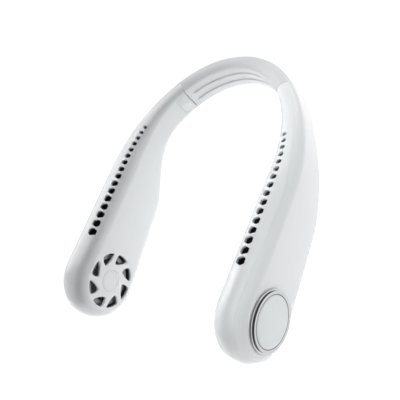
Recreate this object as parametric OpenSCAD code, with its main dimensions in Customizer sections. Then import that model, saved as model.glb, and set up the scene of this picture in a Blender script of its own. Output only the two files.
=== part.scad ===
// Electric neck fan, worn like a collar with its two arms pointing forward.
// X is right, Y points from the open front to the back of the neck, Z is up.
// It is drawn with level arms and then tilted, so that it lies as it does on a table, on the
// lower corners of its two arms and the back of its band.
// The origin is the middle of that footprint, on the table.

/* [Overall] */
// Length along the level arms, from the front of the heads to the back of the band
overall_l = 205; // [195:1:220]
// Distance from the middle plane to the centre line of an arm
arm_x = 69.7; // [66:0.1:76]
// Depth of the curved part behind the straight arms
bend_d = 88.2; // [84:0.1:94]

/* [Arms] */
// Radius of the round fan head
head_r = 28.2; // [27.5:0.1:30]
// Half height of the arm where it starts to narrow
arm_hh = 24.3; // [23.6:0.1:26]
// Half thickness of the head and the straight arm
arm_t = 12.4; // [12.2:0.1:14]
// Distance from the head's centre to where the arm starts to narrow
narrow_from = 62; // [58:1:66]
// Distance from the head's centre to where the arm has its band height
narrow_to = 131; // [126:1:136]
// Distance from the head's centre to where the arm starts to thin
thin_from = 70; // [68:1:76]
// Distance from the head's centre to where the arm is as thin as the band
thin_to = 158; // [152:1:164]
// Depth of the rounded edges as a share of the half thickness
edge_share = 0.65; // [0.6:0.01:0.7]
// Wall of the moulded shells
wall = 1.6; // [1.5:0.1:1.7]
// Angle from the top edge to the parting line between the two shells
part_deg = 35; // [30:1:40]

/* [Band] */
// Half height of the band
band_hh = 12.4; // [12.2:0.1:13.5]
// Half thickness of the band at the seams
band_t = 6; // [5.9:0.1:6.6]
// Half thickness of the band at the back of the neck
band_mid_t = 5.2; // [5.1:0.1:5.8]
// Length along an arm from the head's centre to the seam
seam_s = 157.6; // [155:0.1:160]
// Depth of the two grooves in the neck side
groove_d = 1.1; // [0.8:0.1:1.3]
// Width of a groove
groove_w = 2.6; // [2:0.1:3]
// Height of the grooves above and below the band's middle
groove_z = 3.5; // [3.2:0.1:4]

/* [Hinges] */
// Distance from a hinge pin to the seam
seam_r = 9; // [8.6:0.1:9.4]
// Radius of a hinge pin
pin_r = 1.2; // [1:0.05:1.3]
// Radius of the eye on the hinge plate
eye_r = 3.2; // [3:0.1:3.3]
// Height of the hinge plate
plate_h = 9; // [8:0.5:9]
// Running clearance round pins and shafts
run_gap = 0.05; // [0.03:0.01:0.08]

/* [Air outlets] */
// Number of outlets in the top edge of an arm
outlet_n = 16; // [12:1:16]
// Distance from the head's centre to the first outlet
outlet_s = 25; // [24:0.5:27]
// Spacing of the outlets at the head end
outlet_pitch = 7; // [6.8:0.1:7.2]
// Spacing of the outlets at the band end
outlet_end_pitch = 4.9; // [4.5:0.1:5.2]
// Half width of the largest outlet, across the edge
outlet_w = 3.3; // [2.8:0.1:3.3]
// Half width of the smallest outlet, across the edge
outlet_end_w = 1.5; // [1.2:0.05:1.6]
// Distance of the outlets from the arm's centre line, towards the neck
outlet_off = 3.5; // [3:0.1:3.8]

/* [Grille] */
// Number of intake openings in a head
grille_n = 8; // [6:1:8]
// Radius of the circle through the intake openings
grille_r = 16.6; // [16:0.1:17]
// Size of an intake opening
slot_r = 4.3; // [3.8:0.1:4.4]
// Turn of each opening out of the radial direction
slot_deg = 40; // [20:1:60]
// Radius of the plain disc in the middle of the grille
hub_r = 7.6; // [7:0.1:8]

/* [Outer disc] */
// Outer radius of the chromed ring
ring_r = 20; // [19:0.1:21]
// Height of the ring above the shell
ring_h = 2.6; // [2.2:0.1:3]
// Radius of the flat insert in the ring
insert_r = 16.6; // [16:0.1:17.2]

/* [Fan and motor] */
// Radius of the impeller
fan_r = 18.5; // [17.5:0.1:18.8]
// Number of impeller blades
blade_n = 23; // [15:1:27]
// Radius of the rotor can
can_r = 10.2; // [10:0.1:10.4]
// Radius of the motor shaft
shaft_r = 1; // [0.8:0.05:1.2]
// Radius of the stator
stator_r = 8; // [7.8:0.1:8.1]
// Number of stator teeth
tooth_n = 6; // [6:3:9]

/* [Battery and controls] */
// Radius of the battery cell
cell_r = 9.1; // [9:0.05:9.2]
// Length of the battery cell
cell_l = 50; // [45:1:52]
// Radius of the power button
button_r = 3.8; // [3.4:0.1:4]
// Travel of the power button
button_travel = 0.35; // [0.3:0.05:0.4]
// Width of the charging socket
usb_w = 9; // [8.9:0.05:9.2]
// Thickness of the charging socket
usb_t = 3.2; // [3.1:0.05:3.3]

/* [Hidden] */

// Overrun of every cut past the face it opens
over = 1;
// Gap between parts that lie against each other
fit_gap = 0.1;
// Gap round parts that move past each other
move_gap = 0.3;
// Gap between the two ends that meet at a seam
seam_gap = 0.35;
// Turn of the parting line that keeps the two shells apart
part_gap_deg = 0.4;

// Places along the arm
head_y = -overall_l / 2 + head_r;
bend_y = overall_l / 2 - band_mid_t - bend_d;
straight_l = bend_y - head_y;
top_z = 2 * head_r;
band_z = top_z - band_hh;
pin_s = seam_s - seam_r;

// Steps of the shell and band meshes
front_steps = 9;
rear_steps = 4;
bend_steps = 15;
round_steps = 24;
edge_steps = 4;
side_steps = 6;
band_steps = 36;

// Smooth step from 0 to 1
function ease(u) = let (v = min(max(u, 0), 1)) v * v * (3 - 2 * v);
function mix(a, b, u) = a + (b - a) * u;

// Arc length along the ellipse of the bend and the angle at a length
function bend_rate(p) = sqrt(pow(bend_d * cos(p), 2) + pow(arm_x * sin(p), 2));
function bend_len(p) = p * PI / 180 * (bend_rate(0) + 4 * bend_rate(p / 2) + bend_rate(p)) / 6;
function bend_deg(l) =
    let (guess = l / bend_d * 180 / PI, better = l / bend_rate(guess / 2) * 180 / PI)
    better * l / max(bend_len(better), l / 2);
seam_deg = bend_deg(seam_s - straight_l);

// Centre line of the bend, its outward direction and a point beside it
function bend_turn(p) = atan2(arm_x * sin(p), bend_d * cos(p));
function bend_point(p, n) =
    let (a = bend_turn(p))
    [arm_x * cos(p) + n * cos(a), bend_y + bend_d * sin(p) + n * sin(a)];
// The same by length along the arm from the head's centre
function line_deg(s) = s > straight_l ? bend_deg(s - straight_l) : 0;
function line_turn(s) = bend_turn(line_deg(s));
function line_point(s, n) = s > straight_l ? bend_point(line_deg(s), n) : [arm_x + n, head_y + s];

// Half height, half thickness and middle height of the arm
function arm_half_h(s) =
    mix(
        mix(head_r, arm_hh, s / narrow_from),
        band_hh,
        ease((s - narrow_from) / (narrow_to - narrow_from))
    );
function arm_half_t(s) = mix(arm_t, band_t, ease((s - thin_from) / (thin_to - thin_from)));
function arm_z(s) = top_z - arm_half_h(s);
function edge_d(t) = edge_share * t;
function low_edge(s) = top_z - 2 * arm_half_h(s);

// Tilt of the resting part, from the line under the arms' corners and the back of the band
corner_share = 0.05;
corner_s = mix(narrow_from, narrow_to, corner_share);
corner_y = head_y + corner_s;
corner_z = low_edge(corner_s);
heel_y = bend_y + bend_d;
heel_r = edge_d(band_t);
heel_z = band_z - band_hh + heel_r;
rest_deg = atan2(heel_z - corner_z, heel_y - corner_y)
    - asin(heel_r / norm([heel_y - corner_y, heel_z - corner_z]));
low_z = corner_z * cos(rest_deg) - corner_y * sin(rest_deg);
front_y = head_y * cos(rest_deg) + head_r * sin(rest_deg) - head_r;
back_y = heel_y * cos(rest_deg) + (top_z - heel_r) * sin(rest_deg)
    + norm([band_mid_t * cos(rest_deg), heel_r * sin(rest_deg)]);
mid_y = (front_y + back_y) / 2;

// Offset along the tangent that brings a point of an end face onto the seam's arc
function seam_shift(c, turn, n, r) =
    let (
        pin = line_point(pin_s, 0),
        dir = [-sin(turn), cos(turn)],
        v = c + n * [cos(turn), sin(turn)] - pin,
        along = v * dir
    )
    sqrt(along * along - v * v + r * r) - along;

// One ring of a shell, from the seam along the top, round the head and back below
function arm_stations() = concat(
    [for (i = [0 : front_steps]) corner_s * i / front_steps],
    [for (i = [1 : rear_steps]) mix(corner_s, straight_l, i / rear_steps)],
    [for (i = [1 : bend_steps]) mix(straight_l, seam_s, i / bend_steps)]
);
function station_point(s, n, z, is_end) =
    let (
        turn = line_turn(s),
        dir = [-sin(turn), cos(turn)],
        shift = is_end ? seam_shift(line_point(s, 0), turn, n, seam_r - seam_gap / 2) : 0,
        p = line_point(s, n) + shift * dir
    )
    [p[0], p[1], z];
function shell_ring(deg, inset) =
    let (
        st = arm_stations(),
        m = len(st) - 1,
        head_e = edge_d(arm_t) - inset,
        head_d = head_r - inset - head_e * (1 - cos(deg)),
        rise = function (s) let (e = edge_d(arm_half_t(s)) - inset)
            arm_half_h(s) - inset - e * (1 - cos(deg)),
        side = function (s) (arm_half_t(s) - inset) * sin(deg)
    )
    concat(
        [for (i = [m : -1 : 0]) station_point(st[i], side(st[i]), arm_z(st[i]) + rise(st[i]), i == m)],
        [for (k = [1 : round_steps - 1]) let (b = 180 * k / round_steps)
            [arm_x + side(0), head_y - head_d * sin(b), arm_z(0) + head_d * cos(b)]],
        [for (i = [0 : m]) station_point(st[i], side(st[i]), arm_z(st[i]) - rise(st[i]), i == m)]
    );

// Closed shell between two edge angles, with its wall to the inside
module arm_shell(from_deg, to_deg, steps) {
    degs = [for (j = [0 : steps]) mix(from_deg, to_deg, j / steps)];
    outer = [for (d = degs) shell_ring(d, 0)];
    inner = [for (d = degs) shell_ring(d, wall)];
    n = len(outer[0]);
    half = floor(n / 2);
    base = n * (steps + 1);
    function at(j, i) = j * n + i;
    function quad(a, b, c, d) = [[a, b, c], [a, c, d]];
    skin = [for (j = [0 : steps - 1]) for (i = [0 : n - 2])
        each quad(at(j, i), at(j, i + 1), at(j + 1, i + 1), at(j + 1, i))];
    cap = [for (i = [0 : half - 1]) let (k = n - 1 - i)
        each (k - 1 > i + 1
            ? quad(at(steps, i), at(steps, i + 1), at(steps, k - 1), at(steps, k))
            : [[at(steps, i), at(steps, i + 1), at(steps, k)]])];
    out_faces = concat(skin, cap);
    in_faces = [for (f = out_faces) [f[2] + base, f[1] + base, f[0] + base]];
    rim = [for (i = [0 : n - 2]) each quad(at(0, i + 1), at(0, i), at(0, i) + base, at(0, i + 1) + base)];
    ends = [for (j = [0 : steps - 1]) each concat(
        quad(at(j, 0), at(j + 1, 0), at(j + 1, 0) + base, at(j, 0) + base),
        quad(at(j + 1, n - 1), at(j, n - 1), at(j, n - 1) + base, at(j + 1, n - 1) + base)
    )];
    last = quad(at(steps, 0), at(steps, n - 1), at(steps, n - 1) + base, at(steps, 0) + base);
    flip = to_deg > from_deg;
    faces = concat(out_faces, in_faces, rim, ends, last);
    polyhedron(
        points = concat([for (r = outer) each r], [for (r = inner) each r]),
        faces = flip ? [for (f = faces) [f[2], f[1], f[0]]] : faces,
        convexity = 6
    );
}

// From the level drawing to the resting part; the left side is the mirror of the right one
module rest() translate([0, -mid_y, -low_z]) rotate([-rest_deg, 0, 0]) children();
module left() rest() mirror([1, 0, 0]) children();
// Head frame: the children's X, Y and Z become the drawing's Y, Z and X
module at_head(n = 0) translate([arm_x + n, head_y, arm_z(0)]) rotate([90, 0, 90]) children();
// Arm frame: X points away from the neck, Y along the arm and Z up
module at_arm(s, z = 0) {
    p = line_point(s, 0);
    translate([p[0], p[1], z]) rotate([0, 0, line_turn(s)]) children();
}
// Turns a child that is built along Z so that it lies along X
module along_x() rotate([0, 90, 0]) children();

// Plate that follows the arm's centre line, upright and between two heights
module arm_plate(s0, s1, n0, n1, z0, z1, steps = 10) {
    side = function (n) [for (i = [0 : steps]) line_point(mix(s0, s1, i / steps), n)];
    back = side(n0);
    outline = concat(side(n1), [for (i = [steps : -1 : 0]) back[i]]);
    translate([0, 0, z0]) linear_extrude(z1 - z0) polygon(outline);
}
// The same round the bend, from one side to the other
module bend_plate(p0, p1, n0, n1, z0, z1, steps = 24) {
    outline = concat(
        [for (i = [0 : steps]) bend_point(mix(p0, p1, i / steps), n1)],
        [for (i = [steps : -1 : 0]) bend_point(mix(p0, p1, i / steps), n0)]
    );
    translate([0, 0, z0]) linear_extrude(z1 - z0) polygon(outline);
}

// Soft band
channel_t = 3.6;
channel_h = 15;
groove_end_deg = 6;
function band_half_t(p) = mix(band_mid_t, band_t, abs(cos(p)) / cos(seam_deg));
// Section of the band as pairs of a share of the half thickness and a height
function band_section(groove) = let (
        e_share = edge_share,
        arc = function (a0, a1, sx, sz) [for (i = [0 : 4]) let (a = mix(a0, a1, i / 4))
            [sx * sin(a), sz * (band_hh - edge_d(band_t) * (1 - cos(a))), 0]],
        hw = groove_w / 2,
        first_deg = 90 / 4,
        cut = function (zc) [
            [-1, zc - hw, 0], [-1, zc - hw / 2, groove], [-1, zc + hw / 2, groove], [-1, zc + hw, 0]
        ]
    )
    concat(arc(0, 90, 1, 1), arc(90, 0, 1, -1), arc(first_deg, 90, -1, -1),
        cut(-groove_z), cut(groove_z), arc(90, first_deg, -1, 1));
function band_ring(p, t, groove, end_side) = [for (q = band_section(groove))
    let (
        n = q[0] * t + q[2],
        turn = bend_turn(p),
        shift = end_side == 0 ? 0
            : seam_shift(bend_point(p, 0), turn, n, seam_r + seam_gap / 2),
        at = bend_point(p, n) + shift * [-sin(turn), cos(turn)]
    )
    [at[0], at[1], band_z + q[1]]];
function core_ring(p, end_side) = [for (q = [[1, 1], [1, -1], [-1, -1], [-1, 1]])
    let (
        n = q[0] * channel_t / 2,
        turn = bend_turn(p),
        shift = end_side == 0 ? 0
            : seam_shift(bend_point(p, 0), turn, n, seam_r + seam_gap / 2),
        at = bend_point(p, n) + shift * [-sin(turn), cos(turn)]
    )
    [at[0], at[1], band_z + q[1] * channel_h / 2]];
function mirrored(ring) = [for (v = ring) [-v[0], v[1], v[2]]];

module band_sleeve() {
    half = band_steps / 2;
    degs = [for (i = [0 : half]) mix(seam_deg, 90, i / half)];
    deep = [for (d = degs) groove_d * ease((d - seam_deg - groove_end_deg / 2) / groove_end_deg * 3)];
    right_out = [for (i = [0 : half]) band_ring(degs[i], band_half_t(degs[i]), deep[i], i == 0 ? 1 : 0)];
    right_in = [for (i = [0 : half]) core_ring(degs[i], i == 0 ? 1 : 0)];
    outs = concat(right_out, [for (i = [half - 1 : -1 : 0]) mirrored(right_out[i])]);
    ins = concat(right_in, [for (i = [half - 1 : -1 : 0]) mirrored(right_in[i])]);
    m = len(outs[0]);
    c = len(ins[0]);
    k = len(outs);
    base = m * k;
    function tube(n, start, out) = [for (j = [0 : k - 2]) for (i = [0 : n - 1])
        let (
            a = start + j * n + i,
            b = start + j * n + (i + 1) % n,
            d = start + (j + 1) * n + i,
            e = start + (j + 1) * n + (i + 1) % n
        )
        each (out ? [[a, b, e], [a, e, d]] : [[a, e, b], [a, d, e]])];
    // Each point of an end face is joined to the corner of the channel that it is nearest to
    corner = [for (q = band_section(0)) q[0] >= 0 ? (q[1] >= 0 ? 0 : 1) : (q[1] >= 0 ? 3 : 2)];
    function cap(o, s, out) = [for (i = [0 : m - 1]) let (j = (i + 1) % m)
        each concat(
            out ? [[o + j, o + i, s + corner[i]]] : [[o + i, o + j, s + corner[i]]],
            corner[i] == corner[j] ? []
                : (out ? [[o + j, s + corner[i], s + corner[j]]] : [[o + j, s + corner[j], s + corner[i]]])
        )];
    color("whitesmoke")
        polyhedron(
            points = concat([for (r = outs) each r], [for (r = ins) each r]),
            faces = concat(
                tube(m, 0, true),
                tube(c, base, false),
                cap(0, base, true),
                cap(m * (k - 1), base + c * (k - 1), false)
            ),
            convexity = 6
        );
}

// Spring strip and cable inside the band
strip_t = 0.8;
strip_h = 12;
strip_n = 0.7;
lap_l = 9;
plate_out_l = 14;
plate_end_s = seam_s + plate_out_l;
module spring_strip() {
    p0 = bend_deg(plate_end_s - lap_l - straight_l);
    color("silver")
        bend_plate(p0, 180 - p0, strip_n, strip_n + strip_t, band_z - strip_h / 2, band_z + strip_h / 2);
}
cable_t = 1.1;
cable_h = 5;
module band_cable() {
    p0 = bend_deg(plate_end_s + fit_gap - straight_l);
    color("dimgray")
        bend_plate(p0, 180 - p0, strip_n - fit_gap - cable_t, strip_n - fit_gap,
            band_z - cable_h / 2, band_z + cable_h / 2);
}

// Hinge plate with its eye on the pin, riveted to the spring strip
plate_n = -1.5;
rivet_r = 1.1;
module hinge_plate() {
    z0 = band_z - plate_h / 2;
    color("lightgray")
    difference() {
        union() {
            arm_plate(pin_s, plate_end_s, plate_n, strip_n - fit_gap / 2, z0, z0 + plate_h, 6);
            at_arm(pin_s, z0) cylinder(r = eye_r, h = plate_h, $fn = 48);
        }
        at_arm(pin_s, z0 - over) cylinder(r = pin_r + run_gap, h = plate_h + 2 * over, $fn = 48);
        rivet_places() translate([0, 0, plate_n - over])
            cylinder(r = rivet_r + fit_gap / 2, h = strip_n - plate_n + 2 * over, $fn = 24);
    }
}
module rivet_places() {
    for (z = [-1, 1])
        at_arm(plate_end_s - lap_l / 2, band_z + z * plate_h / 4) along_x() children();
}
module rivet_pair() {
    rivet_places() translate([0, 0, plate_n])
        cylinder(r = rivet_r, h = strip_n - fit_gap - plate_n, $fn = 24);
}
module plate_rivets() {
    color("silver") {
        rivet_pair();
        mirror([1, 0, 0]) rivet_pair();
    }
}

// Hinge block with two ears round the eye, screwed to the inner shell
block_t = 3.6;
ear_h = 3.4;
ear_gap = 0.2;
block_far = 9;
block_near = 4.2;
block_hh = plate_h / 2 + ear_gap + ear_h;
screw_r = 0.9;
screw_s = 6.8;
screw_z = 5.6;
boss_r = 2.2;
module hinge_block() {
    color("gainsboro")
    difference() {
        at_arm(pin_s, band_z) {
            translate([-block_t, -block_far, -block_hh])
                cube([2 * block_t, block_far - block_near, 2 * block_hh]);
            for (z = [-block_hh, plate_h / 2 + ear_gap]) translate([0, 0, z]) {
                cylinder(r = block_t, h = ear_h, $fn = 48);
                translate([-block_t, -block_near - over, 0]) cube([2 * block_t, block_near + over, ear_h]);
            }
        }
        at_arm(pin_s, band_z - block_hh - over)
            cylinder(r = pin_r + run_gap, h = 2 * block_hh + 2 * over, $fn = 48);
        block_screw_places() translate([0, 0, -block_t - over])
            cylinder(r = screw_r + fit_gap / 2, h = 2 * block_t + 2 * over, $fn = 24);
    }
}
module block_screw_places() {
    for (z = [-1, 1])
        at_arm(pin_s, band_z + z * screw_z) translate([0, -screw_s, 0]) along_x() children();
}
module hinge_pin() {
    color("silver")
        at_arm(pin_s, band_z - block_hh) cylinder(r = pin_r, h = 2 * block_hh, $fn = 48);
}
head_screw_r = 1.7;
head_screw_h = 0.7;
module block_screws() {
    shank = block_t + arm_half_t(pin_s - screw_s) - wall;
    color("darkgray")
    block_screw_places() {
        translate([0, 0, block_t]) cylinder(r = head_screw_r, h = head_screw_h, $fn = 24);
        translate([0, 0, block_t - shank]) cylinder(r = screw_r, h = shank, $fn = 24);
    }
}

// Cover plate on the neck side, next to the seam
cover_l = 9.2;
cover_h = 15;
cover_t = 0.9;
cover_r = 3;
cover_shift = 1.6;
cover_s = pin_s + cover_shift;
module cover_shape(grow, t) {
    l = cover_l + 2 * grow;
    h = cover_h + 2 * grow;
    r = cover_r + grow;
    n = -arm_half_t(cover_s);
    at_arm(cover_s, band_z) translate([n, 0, 0]) rotate([90, 0, 90]) linear_extrude(t)
        union() {
            translate([-l / 2 + r, -h / 2]) square([l - r, h]);
            translate([-l / 2, -h / 2 + r]) square([r, h - 2 * r]);
            for (z = [-1, 1]) translate([-l / 2 + r, z * (h / 2 - r)]) circle(r = r, $fn = 32);
        }
}
module hinge_cover() {
    color("white") cover_shape(0, cover_t);
}

// Shapes of the openings
function outlet_place(k) =
    outlet_s + outlet_pitch * k - (outlet_pitch - outlet_end_pitch) * k * k / (2 * (outlet_n - 1));
outlet_long_share = 0.9;
outlet_flat_share = 0.46;
outlet_zigzag_share = 0.3;
function outlet_outline(w, way) = [
    [-w, -w * outlet_flat_share], [way * w * outlet_zigzag_share, -w * outlet_long_share],
    [w, -w * outlet_flat_share], [w, w * outlet_flat_share],
    [way * w * outlet_zigzag_share, w * outlet_long_share], [-w, w * outlet_flat_share]
];
outlet_depth = 9;
module outlets() {
    for (k = [0 : outlet_n - 1]) {
        w = mix(outlet_w, outlet_end_w, k / (outlet_n - 1));
        at_arm(outlet_place(k), top_z - outlet_depth) translate([-outlet_off, 0, 0])
            linear_extrude(outlet_depth + over) polygon(outlet_outline(w, k % 2 == 0 ? 1 : -1));
    }
}
grille_turn = -7;
slot_corner_shares = [[-0.463, -1.312], [1.085, 0.425], [-0.329, 1.308]];
slot_bulge_share = 0.21;
slot_steps = 4;
function slot_side(a, b) = [for (i = [0 : slot_steps - 1]) let (u = i / slot_steps)
    a + u * (b - a) + 4 * u * (1 - u) * slot_bulge_share * [b[1] - a[1], a[0] - b[0]] / norm(b - a)];
function closed(line) = concat(line, [line[0]]);
function softened(line) = [for (i = [0 : len(line) - 2])
    each [(3 * line[i] + line[i + 1]) / 4, (line[i] + 3 * line[i + 1]) / 4]];
function slot_outline() = let (c = closed(slot_corner_shares))
    slot_r * softened(closed([for (i = [0 : len(c) - 2]) each slot_side(c[i], c[i + 1])]));
module grille_openings() {
    for (k = [0 : grille_n - 1])
        rotate([0, 0, 360 * k / grille_n + grille_turn])
            translate([grille_r, 0, 0]) rotate([0, 0, slot_deg])
            linear_extrude(wall + 2 * over) polygon(slot_outline());
}

// Shells
hub_t = 1.1;
peg_r = 2.1;
module inner_shell() {
    boss_n = -arm_half_t(pin_s - screw_s) + wall / 2;
    difference() {
        union() {
            arm_shell(part_deg - part_gap_deg, -90, edge_steps + side_steps);
            block_screw_places() translate([0, 0, boss_n])
                cylinder(r = boss_r, h = -block_t - fit_gap - boss_n, $fn = 24);
        }
        outlets();
        at_head(-arm_t - over) grille_openings();
        at_head(-arm_t - over) cylinder(r = hub_r + fit_gap, h = hub_t + over, $fn = 64);
        at_head(-arm_t) cylinder(r = peg_r + fit_gap, h = wall + over, $fn = 32);
        cover_shape(fit_gap, cover_t + fit_gap);
        cover_over();
        block_screw_places() translate([0, 0, boss_n + wall / 4])
            cylinder(r = screw_r + fit_gap / 2, h = block_t, $fn = 24);
    }
}
// Opens the recess of the cover to the outside and to the seam
module cover_over() {
    at_arm(cover_s, band_z)
        translate([-arm_half_t(cover_s) - over, cover_l / 2 - over, -cover_h / 2 - fit_gap])
            cube([cover_t + fit_gap + over, 2 * over, cover_h + 2 * fit_gap]);
}
base_hole_r = 7;
base_hole_d = 1;
module motor_screw_places() {
    for (a = [30, 150, 270]) rotate([0, 0, a]) translate([base_hole_r, 0, 0]) children();
}
module outer_shell() {
    difference() {
        arm_shell(part_deg + part_gap_deg, 90, edge_steps);
        at_head(arm_t - wall - over) motor_screw_places()
            cylinder(r = screw_r + fit_gap / 2, h = over + base_hole_d, $fn = 24);
    }
}

// Plain disc in the middle of the grille, on a peg
module grille_hub() {
    color("whitesmoke")
    at_head(-arm_t) {
        cylinder(r = hub_r, h = hub_t, $fn = 64);
        cylinder(r = peg_r, h = wall, $fn = 32);
    }
}

// Chromed ring with a narrower foot, and its flat insert
ring_foot = 1.1;
ring_foot_h = 0.85;
ring_lip = 0.5;
module disc_ring() {
    bore = insert_r + fit_gap;
    color("silver")
    at_head(arm_t)
        rotate_extrude($fn = 96)
            polygon([
                [bore, 0], [ring_r - ring_lip, 0], [ring_r, ring_lip], [ring_r, ring_foot_h],
                [ring_r - ring_foot, ring_foot_h], [ring_r - ring_foot, ring_h - ring_lip],
                [ring_r - ring_foot - ring_lip, ring_h], [bore, ring_h]
            ]);
}
insert_drop = 0.15;
module disc_insert() {
    color("gainsboro")
        at_head(arm_t) cylinder(r = insert_r, h = ring_h - insert_drop, $fn = 96);
}

// Scroll wall round the impeller, open towards the duct and shaped to the head's inside
volute_t = 1.2;
tip_gap = 1.7;
far_gap = 0.6;
volute_near = fan_r + tip_gap;
volute_far = head_r - wall - volute_t - far_gap;
volute_from = 100;
volute_sweep = 265;
volute_steps = 30;
module volute() {
    r = function (i) mix(volute_near, volute_far, i / volute_steps);
    a = function (i) volute_from - volute_sweep * i / volute_steps;
    in_line = [for (i = [0 : volute_steps]) r(i) * [cos(a(i)), sin(a(i))]];
    out_line = [for (i = [volute_steps : -1 : 0]) (r(i) + volute_t) * [cos(a(i)), sin(a(i))]];
    inset = wall + move_gap;
    depth = 2 * (arm_t - inset);
    rounding = edge_d(arm_t) - inset;
    edge = [for (i = [-edge_steps : edge_steps]) let (b = 90 * i / edge_steps)
        [head_r - inset - rounding * (1 - cos(b)), depth / 2 * sin(b)]];
    color("gainsboro")
    intersection() {
        at_head(-depth / 2) mirror([1, 0, 0]) linear_extrude(depth) polygon(concat(in_line, out_line));
        at_head() rotate_extrude($fn = 96) polygon(concat([[0, -depth / 2]], edge, [[0, depth / 2]]));
    }
}

// Floor of the air duct under the outlets, with its end wall
duct_h = 15.4;
duct_z = top_z - duct_h;
duct_t = 1.2;
duct_from = 28;
duct_to = 120;
module duct_floor() {
    color("gainsboro")
    union() {
        arm_plate(duct_from, thin_from, -arm_t + wall + fit_gap, arm_t - wall - fit_gap,
            duct_z, duct_z + duct_t, 4);
        duct_tail();
    }
}
// The floor narrows with the arm behind its straight part
module duct_tail() {
    steps = 10;
    ss = [for (i = [0 : steps]) mix(thin_from, duct_to, i / steps)];
    side = function (s, way) line_point(s, way * (arm_half_t(s) - wall - fit_gap - duct_t / 2));
    outline = concat(
        [for (s = ss) side(s, 1)],
        [for (i = [steps : -1 : 0]) side(ss[i], -1)]
    );
    translate([0, 0, duct_z]) linear_extrude(duct_t) polygon(outline);
    n = arm_half_t(duct_to) - wall - fit_gap - duct_t / 2;
    at_arm(duct_to, duct_z)
        translate([-n / 2, -duct_t, 0]) cube([n, duct_t, top_z - duct_z - wall - edge_d(arm_half_t(duct_to)) / 4]);
}

// Motor: base with bearing tube, stator, coils, bearing and shaft
base_t = 1.2;
base_r = 9.4;
base_n = arm_t - wall - base_t;
tube_r = 3.4;
tube_bore = 2.6;
tube_end = -0.6;
module motor_base() {
    color("lightgray")
    difference() {
        union() {
            at_head(base_n) cylinder(r = base_r, h = base_t, $fn = 48);
            at_head(tube_end) cylinder(r = tube_r, h = base_n - tube_end + base_t / 2, $fn = 48);
        }
        at_head(tube_end - over) cylinder(r = tube_bore, h = base_n - tube_end + over, $fn = 48);
        at_head(base_n - over) motor_screw_places()
            cylinder(r = screw_r + fit_gap / 2, h = base_t + 2 * over, $fn = 24);
    }
}
module motor_screws() {
    color("darkgray")
    at_head(base_n) motor_screw_places() {
        translate([0, 0, -head_screw_h]) cylinder(r = head_screw_r - screw_r / 4, h = head_screw_h, $fn = 24);
        cylinder(r = screw_r, h = base_t + base_hole_d - fit_gap, $fn = 24);
    }
}
stator_n = 1.8;
stator_h = 5.4;
tooth_w = 2;
tooth_t = 1.2;
core_t = 1.2;
module stator() {
    color("dimgray")
    at_head(stator_n)
        difference() {
            union() {
                cylinder(r = tube_r + core_t, h = stator_h, $fn = 48);
                intersection() {
                    cylinder(r = stator_r, h = stator_h, $fn = 96);
                    union() for (k = [0 : tooth_n - 1]) rotate([0, 0, 360 * k / tooth_n]) {
                        translate([0, -tooth_w / 2, 0]) cube([stator_r, tooth_w, stator_h]);
                        translate([stator_r - tooth_t, -tooth_w, 0]) cube([tooth_t, 2 * tooth_w, stator_h]);
                    }
                }
            }
            translate([0, 0, -over]) cylinder(r = tube_r + run_gap, h = stator_h + 2 * over, $fn = 48);
        }
}
coil_l = 1.6;
coil_t = 0.5;
module coils() {
    color("peru")
    at_head(stator_n)
        for (k = [0 : tooth_n - 1]) rotate([0, 0, 360 * k / tooth_n])
            translate([tube_r + core_t + fit_gap, 0, stator_h / 2])
                difference() {
                    translate([0, -tooth_w / 2 - coil_t, -stator_h / 2 - coil_t])
                        cube([coil_l, tooth_w + 2 * coil_t, stator_h + 2 * coil_t]);
                    translate([-over, -tooth_w / 2 - fit_gap / 2, -stator_h / 2 - fit_gap / 2])
                        cube([coil_l + 2 * over, tooth_w + fit_gap, stator_h + fit_gap]);
                }
}
module bearing() {
    l = base_n - tube_end - fit_gap;
    color("peru")
    at_head(tube_end)
        difference() {
            cylinder(r = tube_bore - run_gap, h = l, $fn = 48);
            translate([0, 0, -over]) cylinder(r = shaft_r + run_gap, h = l + 2 * over, $fn = 48);
        }
}
can_t = 0.8;
can_n = -2.6;
can_h = 10.2;
module shaft() {
    color("silver")
        at_head(can_n + can_t) cylinder(r = shaft_r, h = base_n - can_n - can_t - 2 * fit_gap, $fn = 48);
}
module rotor_can() {
    color("silver")
    at_head(can_n)
        difference() {
            cylinder(r = can_r, h = can_h, $fn = 96);
            translate([0, 0, can_t]) cylinder(r = can_r - can_t, h = can_h, $fn = 96);
        }
}
magnet_h = 6.6;
module magnet_ring() {
    color("dimgray")
    at_head(can_n + can_h - magnet_h - fit_gap)
        difference() {
            cylinder(r = can_r - can_t - fit_gap, h = magnet_h, $fn = 96);
            translate([0, 0, -over]) cylinder(r = stator_r + move_gap, h = magnet_h + 2 * over, $fn = 96);
        }
}

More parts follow.
